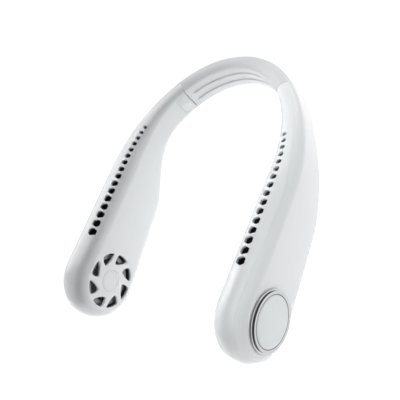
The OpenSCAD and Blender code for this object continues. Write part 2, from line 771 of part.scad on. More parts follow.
// Impeller: hub cup on the rotor can, back plate, blades and front ring
hub_wall = 1;
back_t = 0.9;
back_n = can_n + can_h - back_t;
front_n = -8.6;
front_w = 3;
blade_t = 0.7;
blade_gap = 1.4;
blade_in = can_r + hub_wall + blade_gap;
blade_bend = 14;
module blade() {
    pts = 6;
    arc = function (off) [for (i = [0 : pts]) let (u = i / pts, r = mix(blade_in, fan_r - blade_t / 2, u))
        r * [cos(blade_bend * u * u), sin(blade_bend * u * u)] + [0, off]];
    back = arc(blade_t / 2);
    linear_extrude(back_n - front_n) polygon(concat(arc(-blade_t / 2), [for (i = [pts : -1 : 0]) back[i]]));
}
module impeller() {
    cup_n = can_n - hub_wall;
    color("darkslategray")
    difference() {
        union() {
            at_head(cup_n) cylinder(r = can_r + hub_wall, h = can_n + can_h - cup_n, $fn = 96);
            at_head(back_n) cylinder(r = fan_r, h = back_t, $fn = 96);
            difference() {
                at_head(front_n) cylinder(r = fan_r, h = back_t, $fn = 96);
                at_head(front_n - over) cylinder(r = fan_r - front_w, h = back_t + 2 * over, $fn = 96);
            }
            for (k = [0 : blade_n - 1]) at_head(front_n) rotate([0, 0, 360 * k / blade_n]) blade();
        }
        at_head(can_n) cylinder(r = can_r + run_gap, h = can_h + over, $fn = 96);
    }
}

// Battery cell along the arm's lower edge, with two rubber rings that seat it
cell_lap = 0.2;
cell_from = head_r - cell_lap;
cell_gap = 1.9;
function cell_z(s) = top_z - 2 * arm_half_h(s) + wall + cell_gap + cell_r;
cell_tilt = atan2(cell_z(cell_from + cell_l) - cell_z(cell_from), cell_l);
module at_cell() {
    translate([arm_x, head_y + cell_from, cell_z(cell_from)]) rotate([cell_tilt - 90, 0, 0]) children();
}
module battery() {
    color("steelblue") at_cell() cylinder(r = cell_r, h = cell_l, $fn = 64);
}
pad_w = 6;
pad_t = 1.4;
module cell_pads() {
    color("dimgray")
    at_cell()
        for (z = [cell_l / 5, cell_l * 3 / 5]) translate([0, 0, z])
            difference() {
                cylinder(r = cell_r + pad_t, h = pad_w, $fn = 64);
                translate([0, 0, -over]) cylinder(r = cell_r + run_gap, h = pad_w + 2 * over, $fn = 64);
            }
}

// Leads from the motor to the hinge, along the outer wall under the duct
lead_r = 0.7;
lead_drop = 1;
lead_from = 30;
lead_to = pin_s - block_far - over;
lead_steps = 16;
function lead_n(s) = arm_half_t(s) - wall - 2 * lead_r - fit_gap;
module harness() {
    sides = 6;
    rings = [for (i = [0 : lead_steps]) let (s = mix(lead_from, lead_to, i / lead_steps))
        [for (k = [0 : sides - 1]) let (
                a = 360 * k / sides,
                p = line_point(s, lead_n(s) + lead_r * cos(a))
            )
            [p[0], p[1], duct_z - lead_drop - lead_r + lead_r * sin(a)]]];
    m = len(rings) - 1;
    color("firebrick")
        polyhedron(
            points = [for (r = rings) each r],
            faces = concat(
                [for (j = [0 : m - 1]) for (k = [0 : sides - 1]) let (
                        a = j * sides + k,
                        b = j * sides + (k + 1) % sides,
                        c = a + sides,
                        d = b + sides
                    )
                    each [[a, d, b], [a, c, d]]],
                [for (k = [1 : sides - 2]) [0, k, k + 1]],
                [for (k = [1 : sides - 2]) [m * sides, m * sides + k + 1, m * sides + k]]
            )
        );
}

// Controls of the left arm, drawn in the right arm and mirrored with it. Their board runs
// along the sloping lower edge and behind the outer face, square to both of them.
control_gap = 20;
control_s = cell_from + cell_l + control_gap;
control_up = 11;
face_span = 5;
function face_rise(s) = atan2(low_edge(s + face_span) - low_edge(s - face_span), 2 * face_span);
function face_turn(s) = atan2(arm_half_t(s - face_span) - arm_half_t(s + face_span), 2 * face_span);
// Face frame: X out of the outer face, Y along the lower edge and Z away from it
module at_face(s, n = 0) {
    at_arm(s, low_edge(s)) translate([arm_half_t(s), 0, 0]) rotate([face_rise(s), 0, 0])
        rotate([0, 0, face_turn(s)]) translate([n, 0, control_up]) children();
}
face_n = arm_half_t(control_s);
module at_controls(n = 0) at_face(control_s, n - face_n) children();
board_l = 20;
board_h = 11;
board_drop = 1.5;
board_t = 1;
board_n = 3.6;
switch_w = 4.5;
switch_h = 2.2;
stem_r = 1.1;
flange_t = 0.5;
flange_w = 0.8;
proud = 0.5;
button_back = face_n - wall - move_gap - flange_t;
board_screw_y = 8;
module board_screw_place() translate([0, board_screw_y, 0]) along_x() children();
module control_board() {
    color("seagreen")
    difference() {
        at_controls(board_n) translate([0, -board_l / 2, -board_h / 2 - board_drop])
            cube([board_t, board_l, board_h]);
        at_controls(board_n - over) board_screw_place()
            cylinder(r = screw_r + fit_gap / 2, h = board_t + 2 * over, $fn = 24);
    }
}
module board_screw() {
    color("silver")
    at_controls(board_n) board_screw_place() {
        translate([0, 0, -head_screw_h]) cylinder(r = head_screw_r, h = head_screw_h, $fn = 24);
        cylinder(r = screw_r, h = face_n - wall - board_n - move_gap, $fn = 24);
    }
}
usb_d = 7.8;
usb_skin = 0.35;
usb_recess = 0.4;
tongue_t = 0.7;
module usb_frame() {
    at_controls(board_n - usb_t / 2 - fit_gap / 2) translate([0, 0, usb_recess - control_up]) children();
}
module usb_outline(w, t) {
    translate([0, -w / 2 + t / 2]) union() {
        translate([-t / 2, 0]) square([t, w - t]);
        circle(r = t / 2, $fn = 32);
        translate([0, w - t]) circle(r = t / 2, $fn = 32);
    }
}
module usb_socket() {
    color("silver")
    usb_frame() {
        difference() {
            linear_extrude(usb_d) usb_outline(usb_w, usb_t);
            translate([0, 0, -over]) linear_extrude(usb_d) usb_outline(usb_w - 2 * usb_skin, usb_t - 2 * usb_skin);
        }
        translate([-tongue_t / 2, -usb_w / 3, over]) cube([tongue_t, usb_w * 2 / 3, usb_d - 3 / 2 * over]);
    }
}
module tact_switch() {
    color("dimgray")
    at_controls(board_n + board_t) {
        translate([0, -switch_w / 2, -switch_w / 2]) cube([switch_h, switch_w, switch_w]);
        along_x() cylinder(r = stem_r, h = button_back - board_n - board_t - button_travel - fit_gap, $fn = 32);
    }
}
module power_button() {
    color("white")
    at_controls(button_back) along_x() {
        cylinder(r = button_r + flange_w, h = flange_t, $fn = 48);
        cylinder(r = button_r, h = face_n + proud - button_back, $fn = 48);
    }
}
light_n = 4;
light_r = 0.65;
light_pitch = 1.9;
light_back = 9.5;
light_bar = 1.8;
light_s = control_s - light_back * cos(face_rise(control_s));
module light_places() {
    for (k = [0 : light_n - 1]) translate([0, (k - (light_n - 1) / 2) * light_pitch, 0]) along_x() children();
}
module light_pipe() {
    bar_n = -wall - move_gap - light_bar;
    color("lightcyan")
    at_face(light_s, bar_n) {
        light_places() cylinder(r = light_r, h = -bar_n - fit_gap, $fn = 24);
        translate([0, -light_n * light_pitch / 2, -light_bar / 2])
            cube([light_bar, light_n * light_pitch, light_bar]);
    }
}
module control_cuts() {
    at_controls(face_n - wall - over) along_x()
        cylinder(r = button_r + move_gap / 2, h = wall + 3 * over, $fn = 48);
    at_face(light_s, -wall - over) light_places()
        cylinder(r = light_r + fit_gap / 2, h = wall + 3 * over, $fn = 24);
}
module left_outer_shell() {
    difference() {
        outer_shell();
        control_cuts();
    }
}
module left_inner_shell() {
    difference() {
        inner_shell();
        usb_frame() translate([0, 0, -usb_d]) linear_extrude(usb_d * 2)
            usb_outline(usb_w + 2 * fit_gap, usb_t + 2 * fit_gap);
    }
}

rest() band_sleeve();
rest() spring_strip();
rest() band_cable();
left() hinge_plate();  // left_hinge_plate
rest() hinge_plate();  // right_hinge_plate
rest() plate_rivets();
color("white") left() left_inner_shell();
color("white") rest() inner_shell();  // right_inner_shell
color("whitesmoke") left() left_outer_shell();
color("whitesmoke") rest() outer_shell();  // right_outer_shell
left() hinge_cover();  // left_hinge_cover
rest() hinge_cover();  // right_hinge_cover
left() hinge_block();  // left_hinge_block
rest() hinge_block();  // right_hinge_block
left() hinge_pin();  // left_hinge_pin
rest() hinge_pin();  // right_hinge_pin
left() block_screws();  // left_block_screws
rest() block_screws();  // right_block_screws
left() grille_hub();  // left_grille_hub
rest() grille_hub();  // right_grille_hub
left() disc_ring();  // left_disc_ring
rest() disc_ring();  // right_disc_ring
left() disc_insert();  // left_disc_insert
rest() disc_insert();  // right_disc_insert
left() volute();  // left_volute
rest() volute();  // right_volute
left() duct_floor();  // left_duct_floor
rest() duct_floor();  // right_duct_floor
left() motor_base();  // left_motor_base
rest() motor_base();  // right_motor_base
left() motor_screws();  // left_motor_screws
rest() motor_screws();  // right_motor_screws
left() stator();  // left_stator
rest() stator();  // right_stator
left() coils();  // left_coils
rest() coils();  // right_coils
left() bearing();  // left_bearing
rest() bearing();  // right_bearing
left() shaft();  // left_shaft
rest() shaft();  // right_shaft
left() rotor_can();  // left_rotor_can
rest() rotor_can();  // right_rotor_can
left() magnet_ring();  // left_magnet_ring
rest() magnet_ring();  // right_magnet_ring
left() impeller();  // left_impeller
rest() impeller();  // right_impeller
left() battery();  // left_battery
rest() battery();  // right_battery
left() cell_pads();  // left_cell_pads
rest() cell_pads();  // right_cell_pads
left() harness();  // left_harness
rest() harness();  // right_harness
left() control_board();
left() board_screw();
left() usb_socket();
left() tact_switch();
left() power_button();
left() light_pipe();
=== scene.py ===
from math import asin, atan2, cos, hypot, pi, radians, sin, sqrt

import bmesh
import bpy
from mathutils import Matrix, Vector


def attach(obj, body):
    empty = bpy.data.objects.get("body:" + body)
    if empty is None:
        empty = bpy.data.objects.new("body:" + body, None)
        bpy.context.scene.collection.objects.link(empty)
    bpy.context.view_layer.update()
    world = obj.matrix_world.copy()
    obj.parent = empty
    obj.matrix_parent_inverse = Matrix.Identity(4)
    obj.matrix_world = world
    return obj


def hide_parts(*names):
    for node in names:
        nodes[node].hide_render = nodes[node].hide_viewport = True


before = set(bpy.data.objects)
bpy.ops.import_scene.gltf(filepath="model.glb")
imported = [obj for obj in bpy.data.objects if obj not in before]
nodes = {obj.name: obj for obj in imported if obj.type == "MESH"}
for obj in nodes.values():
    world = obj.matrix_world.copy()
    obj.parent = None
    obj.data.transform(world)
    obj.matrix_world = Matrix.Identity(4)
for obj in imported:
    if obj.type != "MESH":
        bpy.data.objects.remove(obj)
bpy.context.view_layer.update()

# Arm housings, neck side. Each is a glossy white ABS moulding that makes the arm's neck face,
# its top edge and its underside, with the air outlets along the top and the intake grille in
# the round head. It is drawn level in millimetres, like the CAD, and then tilted onto the table.
arm_x, bend_d, bend_y, head_y = 69.7, 88.2, 9.1, -74.3
head_r, arm_hh, arm_t, edge_share = 28.2, 24.3, 12.4, 0.65
narrow_from, narrow_to, thin_from, thin_to = 62, 131, 70, 158
band_hh, band_t, band_mid_t, seam_s, seam_r, seam_gap = 12.4, 6, 5.2, 157.6, 9, 0.35
top_z, wall, fit_gap = 56.4, 1.6, 0.1
straight_l = bend_y - head_y
pin_s = seam_s - seam_r
band_z = top_z - band_hh
rest_turn, mid_y, low_z = radians(12.2798), 8.29291, 10.0934
to_table = (Matrix.Scale(0.001, 4) @ Matrix.Translation((0, -mid_y, -low_z))
            @ Matrix.Rotation(-rest_turn, 4, "X"))
sides = {"right": to_table, "left": to_table @ Matrix.Scale(-1, 4, (1, 0, 0))}


def ease(u):
    v = min(max(u, 0), 1)
    return v * v * (3 - 2 * v)


def mix(a, b, u):
    return a + (b - a) * u


def bend_rate(p):
    return hypot(bend_d * cos(p), arm_x * sin(p))


def bend_len(p):
    return p * (bend_rate(0) + 4 * bend_rate(p / 2) + bend_rate(p)) / 6


def bend_angle(length):
    better = length / bend_rate(length / bend_d / 2)
    return better * length / max(bend_len(better), length / 2)


def bend_turn(p):
    return atan2(arm_x * sin(p), bend_d * cos(p))


def bend_point(p, n):
    a = bend_turn(p)
    return arm_x * cos(p) + n * cos(a), bend_y + bend_d * sin(p) + n * sin(a)


def arm_turn(s):
    return bend_turn(bend_angle(s - straight_l)) if s > straight_l else 0


def arm_point(s, n):
    return bend_point(bend_angle(s - straight_l), n) if s > straight_l else (arm_x + n, head_y + s)


def half_height(s):
    return mix(mix(head_r, arm_hh, s / narrow_from), band_hh,
               ease((s - narrow_from) / (narrow_to - narrow_from)))


def half_thick(s):
    return mix(arm_t, band_t, ease((s - thin_from) / (thin_to - thin_from)))


def at_arm(s, z=0):
    x, y = arm_point(s, 0)
    return Matrix.Translation((x, y, z)) @ Matrix.Rotation(arm_turn(s), 4, "Z")


# Stands a drawing up: its x runs back along the arm, its y up and its height out to the right
upright = Matrix(((0, 0, 1, 0), (1, 0, 0, 0), (0, 1, 0, 0), (0, 0, 0, 1)))


def at_head(n=0):
    return Matrix.Translation((arm_x + n, head_y, top_z - head_r)) @ upright


def seam_slide(x, y, turn, n, r):
    """How far a point slides along the arm to lie on the arc about the hinge pin."""
    px, py = arm_point(pin_s, 0)
    vx, vy = x + n * cos(turn) - px, y + n * sin(turn) - py
    along = -vx * sin(turn) + vy * cos(turn)
    return sqrt(along * along - vx * vx - vy * vy + r * r) - along


def loft(rows, columns, place):
    """A grid whose points are laid on the piece's sections, welded where they meet."""
    bm = bmesh.new()
    across, along = len(columns) - 1, len(rows) - 1
    bmesh.ops.create_grid(bm, x_segments=across, y_segments=along, size=1)
    for v in bm.verts:
        row, column = round((v.co.y + 1) / 2 * along), round((v.co.x + 1) / 2 * across)
        v.co = place(rows[row], columns[column])
    bmesh.ops.remove_doubles(bm, verts=bm.verts[:], dist=0.002)
    bmesh.ops.recalc_face_normals(bm, faces=bm.faces[:])
    return bm


# How far the parting line lies from the crown of the edge, along the arm
parting = [(0, 30), (20, 31), (40, 40), (73, 41), (90, 29), (106, 23), (130, 27), (158, 32)]


def parting_deg(s):
    for (s0, a), (s1, b) in zip(parting, parting[1:]):
        if s <= s1:
            return mix(a, b, ease((s - s0) / (s1 - s0)))
    return parting[-1][1]


arm_stops = [seam_s * i / 78 for i in range(79)]
arm_rows = ([("top", s) for s in reversed(arm_stops)] + [("head", 4 * k) for k in range(1, 45)]
            + [("low", s) for s in arm_stops])


def housing_point(row, column):
    kind, at = row
    turn_share, flat_share, side, gap = column
    s = 0 if kind == "head" else at
    deg = radians(mix(parting_deg(s) + gap, 90 * side, turn_share))
    t = half_thick(s)
    drop = edge_share * t * (1 - cos(deg))
    n = t * sin(deg)
    if kind == "head":
        d = (head_r - drop) * flat_share
        return arm_x + n, head_y - d * sin(radians(at)), top_z - head_r + d * cos(radians(at))
    hh = half_height(s)
    up = (hh - drop) * flat_share * (1 if kind == "top" else -1)
    x, y = arm_point(s, n)
    near_end = min(max((s - seam_s + 14) / 14, 0), 1) ** 2
    if near_end:
        turn = arm_turn(s)
        cx, cy = arm_point(seam_s, 0)
        slide = near_end * seam_slide(cx, cy, arm_turn(seam_s), n, seam_r - seam_gap / 2)
        x, y = x - slide * sin(turn), y + slide * cos(turn)
    return x, y, top_z - hh + up


def drawn(bm, name):
    mesh = bpy.data.meshes.new(name)
    bm.to_mesh(mesh)
    bm.free()
    piece = bpy.data.objects.new(name, mesh)
    bpy.context.scene.collection.objects.link(piece)
    return piece


def worked(piece):
    """Bakes the piece's modifiers into its mesh."""
    bpy.context.view_layer.update()
    mesh = bpy.data.meshes.new_from_object(
        piece.evaluated_get(bpy.context.evaluated_depsgraph_get()))
    piece.modifiers.clear()
    piece.data = mesh
    return piece


def walled(piece, thickness, rim):
    m = piece.modifiers.new("wall", "SOLIDIFY")
    # The inner faces take the piece's second material, which for the housings is the dark painted
    # shade
    m.thickness, m.offset, m.use_even_offset, m.material_offset = thickness, -1, True, 1
    b = piece.modifiers.new("rim", "BEVEL")
    b.width, b.segments, b.limit_method, b.angle_limit = rim, 2, "ANGLE", radians(50)
    return worked(piece)


def gather(tools):
    """Several cutters, or parts of a piece, as one mesh."""
    bm = bmesh.new()
    for tool in tools:
        mesh = bpy.data.meshes.new("part")
        tool.to_mesh(mesh)
        tool.free()
        bm.from_mesh(mesh)
        bpy.data.meshes.remove(mesh)
    return bm


def cut(piece, tools):
    tool = drawn(gather(tools), "cutter")
    m = piece.modifiers.new("cut", "BOOLEAN")
    m.operation, m.solver, m.object = "DIFFERENCE", "EXACT", tool
    worked(piece)
    bpy.data.objects.remove(tool)
    return piece


def punch(outline, levels, place, corner=0, sag=0):
    """A closed cutter of that outline: one ring for each (height, scale), bent by sag in x."""
    bm = bmesh.new()
    bmesh.ops.create_circle(bm, cap_ends=True, radius=1, segments=len(outline))
    for v, p in zip(bm.verts, outline):
        v.co = (p[0], p[1], 0)
    if corner:
        bmesh.ops.bevel(bm, geom=bm.verts[:], offset=corner, offset_type="OFFSET", segments=3,
                        profile=0.5, affect="VERTICES", material=-1)
    bmesh.ops.delete(bm, geom=bm.faces[:], context="FACES_ONLY")
    ring, verts = bm.edges[:], bm.verts[:]
    at, wide = 0, 1
    for up, scale in levels:
        if (up, scale) != levels[0]:
            made = bmesh.ops.extrude_edge_only(bm, edges=ring)["geom"]
            ring = [e for e in made if isinstance(e, bmesh.types.BMEdge)]
            verts = [v for v in made if isinstance(v, bmesh.types.BMVert)]
        bmesh.ops.scale(bm, vec=(scale / wide, scale / wide, 1), verts=verts)
        bmesh.ops.translate(bm, vec=(0, 0, up - at), verts=verts)
        at, wide = up, scale
    for v in bm.verts:
        v.co.z -= sag * v.co.x ** 2
    bmesh.ops.holes_fill(bm, edges=[e for e in bm.edges if e.is_boundary])
    bmesh.ops.transform(bm, matrix=place, verts=bm.verts[:])
    bmesh.ops.recalc_face_normals(bm, faces=bm.faces[:])
    return bm


def ring_line(r, steps=64, slip=0):
    return [((r + slip) * cos(2 * pi * k / steps), (r + slip) * sin(2 * pi * k / steps))
            for k in range(steps)]


outlet_n, outlet_from, outlet_pitch, outlet_end_pitch = 16, 25, 7, 4.9
outlet_w, outlet_end_w, outlet_aside = 3.4, 1.5, -3.5


def outlet_tools():
    """Stretched hexagons along the top edge, closer and smaller towards the band."""
    tools = []
    for k in range(outlet_n):
        s = (outlet_from + outlet_pitch * k
             - (outlet_pitch - outlet_end_pitch) * k * k / (2 * (outlet_n - 1)))
        w = mix(outlet_w, outlet_end_w, k / (outlet_n - 1))
        way = 1 if k % 2 == 0 else -1
        flat, long, lean = 0.46 * w, 0.9 * w, way * 0.3 * w
        outline = [(-w, -flat), (lean, -long), (w, -flat), (w, flat), (lean, long), (-w, flat)]
        t = half_thick(s)
        e = edge_share * t
        turn = asin(outlet_aside / t)
        place = (at_arm(s, top_z) @ Matrix.Translation((outlet_aside, 0, -e * (1 - cos(turn))))
                 @ Matrix.Rotation(atan2(e * sin(turn), t * cos(turn)), 4, "Y"))
        levels = [(-5, 0.96), (-0.28, 1), (0.04, 1 + 0.3 / w), (2.5, 1 + 0.3 / w)]
        tools.append(punch(outline, levels, place, corner=0.1 * w, sag=e / (2 * t * t)))
    return tools


def soft_outline(corners, bulge):
    """Outline of a few corners, rounded, with sides that swell a little."""
    line = []
    for start, end in zip(corners, corners[1:] + corners[:1]):
        a, b = Vector(start), Vector(end)
        out = Vector((b.y - a.y, a.x - b.x)).normalized() * bulge
        line += [a.lerp(b, u) + out * 4 * u * (1 - u) for u in (0, 0.25, 0.5, 0.75)]
    for step in range(2):
        line = [p.lerp(q, u) for p, q in zip(line, line[1:] + line[:1]) for u in (0.25, 0.75)]
    return line


grille_n, grille_r, grille_turn, hub_r, peg_r = 8, 16.6, radians(-7), 7.6, 2.1


def grille_tools():
    """Openings round the grille's cap, with softly rounded edges on the outside."""
    line = soft_outline([(2.1, -5.6), (2.4, 4.4), (-4.7, 3.4)], 0.9)
    levels = [(wall + 1, 1), (0.9, 1), (0.45, 1.03), (0.2, 1.08), (0.05, 1.15), (0, 1.19),
              (-1, 1.19)]
    return [punch(line, levels,
                  at_head(-arm_t) @ Matrix.Rotation(2 * pi * k / grille_n + grille_turn, 4, "Z")
                  @ Matrix.Translation((grille_r, 0, 0)))
            for k in range(grille_n)]


def cover_line(grow):
    """Outline of the small hinge cover: square at the seam, round at its other end."""
    l, h, r = 9.2 + 2 * grow, 15 + 2 * grow, 3 + grow
    arc = [(-l / 2 + r - r * sin(a), h / 2 - r + r * cos(a)) for a in
           [pi / 2 * k / 8 for k in range(9)]]
    return [(l / 2, -h / 2), (l / 2, h / 2)] + arc + [(x, -z) for x, z in reversed(arc)]


cover_s = pin_s + 1.6
cover_place = (at_arm(cover_s, band_z) @ Matrix.Translation((-half_thick(cover_s), 0, 0))
               @ upright)


def detail_group():
    """Slow patches of tone, finer patches of polish and fine grain, at the scales given."""
    g = bpy.data.node_groups.new("surface detail", "ShaderNodeTree")
    face = g.interface
    for name, value in (("Patches", 30), ("Smudges", 90), ("Grain", 2500)):
        socket = face.new_socket(name=name, in_out="INPUT", socket_type="NodeSocketFloat")
        socket.default_value = value
    for name in ("Tone", "Polish", "Height"):
        face.new_socket(name=name, in_out="OUTPUT", socket_type="NodeSocketFloat")
    n, link = g.nodes, g.links.new
    given, given_out = n.new("NodeGroupInput"), n.new("NodeGroupOutput")
    place = n.new("ShaderNodeTexCoord")
    for source, target, detail, rough in (("Patches", "Tone", 2, 0.5),
                                          ("Smudges", "Polish", 5, 0.62),
                                          ("Grain", "Height", 3, 0.5)):
        noise = n.new("ShaderNodeTexNoise")
        noise.inputs["Detail"].default_value = detail
        noise.inputs["Roughness"].default_value = rough
        link(place.outputs["Object"], noise.inputs["Vector"])
        link(given.outputs[source], noise.inputs["Scale"])
        link(noise.outputs["Fac"], given_out.inputs[target])
    return g


surface_detail = detail_group()


def finish(name, light, dark, rough, spread=0.06, metal=0.0, bump=0.0, grain=2500, patches=30,
           smudges=90, **fixed):
    """A material with two close tones, uneven polish and a fine grain in its surface."""
    m = bpy.data.materials.new(name)
    m.use_nodes = True
    n, link = m.node_tree.nodes, m.node_tree.links.new
    shader = n["Principled BSDF"]
    shader.inputs["Metallic"].default_value = metal
    for key, value in fixed.items():
        shader.inputs[key.replace("_", " ").title().replace("Ior", "IOR")].default_value = value
    detail = n.new("ShaderNodeGroup")
    detail.node_tree = surface_detail
    detail.inputs["Patches"].default_value = patches
    detail.inputs["Smudges"].default_value = smudges
    detail.inputs["Grain"].default_value = grain
    tone = n.new("ShaderNodeMix")
    tone.data_type = "RGBA"
    tone.name = "tone"
    tone.inputs["A"].default_value = (*dark, 1)
    tone.inputs["B"].default_value = (*light, 1)
    link(detail.outputs["Tone"], tone.inputs["Factor"])
    link(tone.outputs["Result"], shader.inputs["Base Color"])
    polish = n.new("ShaderNodeMapRange")
    polish.name = "polish"
    polish.inputs["From Min"].default_value = 0.3
    polish.inputs["From Max"].default_value = 0.7
    polish.inputs["To Min"].default_value = max(rough - spread, 0.02)
    polish.inputs["To Max"].default_value = rough + spread
    link(detail.outputs["Polish"], polish.inputs["Value"])
    link(polish.outputs["Result"], shader.inputs["Roughness"])
    if bump:
        dents = n.new("ShaderNodeBump")
        dents.name = "grain"
        dents.inputs["Strength"].default_value = 0.5
        dents.inputs["Distance"].default_value = bump
        link(detail.outputs["Height"], dents.inputs["Height"])
        link(dents.outputs["Normal"], shader.inputs["Normal"])
    return m


gloss_white = finish("gloss white ABS", (0.785, 0.805, 0.815), (0.755, 0.775, 0.787), 0.335, 0.035,
                     bump=0.000004, grain=900, patches=14, smudges=60,
                     coat_weight=1.0, coat_roughness=0.14, coat_ior=1.7)
# Inner faces of the housings: near-black painted shade inside the arms, not a colour of the white
# ABS
painted_shade_inside = finish("shell inside painted black as shade", (0.1, 0.103, 0.106), (0.075, 0.077, 0.08), 0.55,
                    0.1, bump=0.00002, grain=1800)


def placed(piece, side, body, materials, nodes, soften=35):
    """Puts a drawn piece on the table on its side and hands it to the frame."""
    matrix = sides[side]
    piece.data.transform(matrix)
    if matrix.determinant() < 0:
        piece.data.flip_normals()
    if not piece.data.materials:
        for m in materials:
            piece.data.materials.append(m)
    piece.data.shade_smooth()
    piece.data.set_sharp_from_angle(angle=radians(soften))
    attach(piece, body)
    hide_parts(*nodes)
    return piece


# The left arm's controls: their place along the arm and above its lower edge
control_s, control_up, face_span = 98, 11, 5


def low_edge(s):
    return top_z - 2 * half_height(s)


def at_face(s, n):
    """Out of the outer face, along the sloping lower edge, away from that edge."""
    rise = atan2(low_edge(s + face_span) - low_edge(s - face_span), 2 * face_span)
    lean = atan2(half_thick(s - face_span) - half_thick(s + face_span), 2 * face_span)
    return (at_arm(s, low_edge(s)) @ Matrix.Translation((half_thick(s), 0, 0))
            @ Matrix.Rotation(rise, 4, "X") @ Matrix.Rotation(lean, 4, "Z")
            @ Matrix.Translation((n, 0, control_up)))


face_n = half_thick(control_s)
socket_n, socket_up = 3.6 - 3.3 / 2, 0.4
socket_place = (at_face(control_s, socket_n - face_n)
                @ Matrix.Translation((0, 0, socket_up - control_up)))


def socket_line(w, t):
    """Long hole with round ends."""
    half = [(t / 2 * cos(a), w / 2 - t / 2 + t / 2 * sin(a)) for a in
            [pi * k / 12 for k in range(13)]]
    return half + [(-x, -y) for x, y in half]


parting_gap_deg, rim_round = 0.09, 0.05


def housing(name, steps, way):
    """One moulding of an arm, from the parting line (way -1 inward, 1 outward) over its face."""
    gap = parting_gap_deg * way
    columns = [(k / steps, 1, way, gap) for k in range(steps + 1)]
    columns += [(1, w, way, gap) for w in (0.85, 0.65, 0.45, 0.2, 0)]
    piece = drawn(loft(arm_rows, columns, housing_point), name)
    piece.data.materials.append(gloss_white)
    # Second material: dark painted shade on the inside faces of the shell
    piece.data.materials.append(painted_shade_inside)
    return walled(piece, wall, rim_round)


for side in sides:
    inner = housing(side + "_neck_housing", 18, -1)
    tools = outlet_tools() + grille_tools()
    tools.append(punch(ring_line(hub_r, slip=fit_gap),
                       [(1.15, 1), (0.12, 1), (0, 1.015), (-1, 1.015)], at_head(-arm_t)))
    tools.append(punch(ring_line(peg_r, 32, fit_gap), [(wall + 1, 1), (1, 1)], at_head(-arm_t)))
    tools.append(punch(cover_line(fit_gap), [(1, 1), (-1, 1)], cover_place))
    if side == "left":
        tools.append(punch(socket_line(9.2, 3.4), [(6, 1), (-6, 1)], socket_place))
    inner = cut(inner, tools)
    placed(inner, side, side + "_arm", [gloss_white, painted_shade_inside],
           [side + "_inner_shell"])

# Arm housings, outer side. The second moulding closes each arm from outside and meets the
# first at a hairline that runs along both edges and round the head. The left one carries the
# power button and the charge lights, which shine through four small holes.
light_n, light_pitch, light_off, light_r, button_hole_r = 4, 1.9, 9.5, 0.7, 3.95
for side in sides:
    outer = housing(side + "_outer_housing", 12, 1)
    if side == "left":
        rise = atan2(low_edge(control_s + face_span) - low_edge(control_s - face_span),
                     2 * face_span)
        light_s = control_s - light_off * cos(rise)
        hole = [(-3, 1), (-0.2, 1), (0, 1.04), (1, 1.04)]
        tools = [punch(ring_line(button_hole_r), hole, at_face(control_s, 0) @ upright)]
        for k in range(light_n):
            along = (k - (light_n - 1) / 2) * light_pitch
            tools.append(punch(ring_line(light_r, 20), hole, at_face(light_s, 0)
                               @ Matrix.Translation((0, along, 0)) @ upright))
        outer = cut(outer, tools)
    placed(outer, side, side + "_arm", [gloss_white, painted_shade_inside],
           [side + "_outer_shell"])

# Hinge covers. A small snap-in plate of the same gloss white closes each hinge on the neck
# side, beside the seam. Its edges are broken so that a fine line shows all round it.
for side in sides:
    bm = punch(cover_line(0), [(0.9, 1), (0, 1)], cover_place)
    bmesh.ops.bevel(bm, geom=[e for e in bm.edges if e.calc_face_angle(0) > 1], offset=0.12,
                    offset_type="OFFSET", segments=2, profile=0.5, affect="EDGES", material=-1)
    cover = drawn(bm, side + "_cover_plate")
    placed(cover, side, side + "_arm", [gloss_white], [side + "_hinge_cover"])

# Band. A soft silicone sleeve joins the arms behind the neck. Two grooves run along its neck
# side, and a flat channel inside takes the spring strip and the cable. Both ends are curved
# about the hinge pins, so that the seams stay shut while the arms open.
seam_turn = bend_angle(seam_s - straight_l)
band_edge = edge_share * band_t
flat_z = band_hh - band_edge
band_columns = [(1, mix(-flat_z, flat_z, k / 6), None) for k in range(6)]
band_columns += [(sin(a), band_hh - band_edge * (1 - cos(a)), None)
                 for a in [pi / 2 - pi * k / 18 for k in range(18)]]
for middle, start in ((3.5, flat_z), (-3.5, 1.75)):
    band_columns += [(-1, mix(start, middle + 1.3, k / 3), None) for k in range(3)]
    band_columns += [(-1, middle, x) for x in (1, 0.86, 0.7, 0.5, 0, -0.5, -0.7, -0.86, -1)]
    band_columns += [(-1, middle - 1.3 - 0.2, None)]
band_columns += [(-1, mix(-5.4, -flat_z, k / 3), None) for k in range(3)]
band_columns += [(sin(a), -band_hh + band_edge * (1 - cos(a)), None)
                 for a in [-pi / 2 + pi * k / 18 for k in range(18)]]
band_columns += [(1, -flat_z, None)]
band_stops = [mix(seam_turn, pi - seam_turn, k / 110) for k in range(111)]
band_rows = [("out", p) for p in band_stops] + [("in", p) for p in reversed(band_stops)]
band_rows += [("out", band_stops[0])]


def band_point(row, column):
    kind, p = row
    share, z, across = column
    mirrored = p > pi / 2
    q = pi - p if mirrored else p
    if kind == "in":
        n, z = 1.8 * min(max(share * 1.6, -1), 1), min(max(z, -7.5), 7.5)
    else:
        n = share * mix(band_mid_t, band_t, abs(cos(q)) / cos(seam_turn))
        if across is not None:
            past_end = (q - seam_turn - radians(2.2)) / radians(2.2)
            wide = sqrt(min(max(past_end, 0), 1)) if past_end < 1 else 1
            z += 1.3 * across * max(wide, 0.05)
            wide_enough = min(max(past_end * 1.6, 0), 1)
            n += 1.1 * wide_enough * ease((1 - abs(across)) / 0.3)
    turn = bend_turn(q)
    x, y = bend_point(q, n)
    near_end = min(max(1 - (q - seam_turn) / radians(9), 0), 1) ** 2
    if near_end:
        cx, cy = bend_point(seam_turn, 0)
        slide = near_end * seam_slide(cx, cy, bend_turn(seam_turn), n, seam_r + seam_gap / 2)
        x, y = x - slide * sin(turn), y + slide * cos(turn)
    return (-x if mirrored else x), y, band_z + z


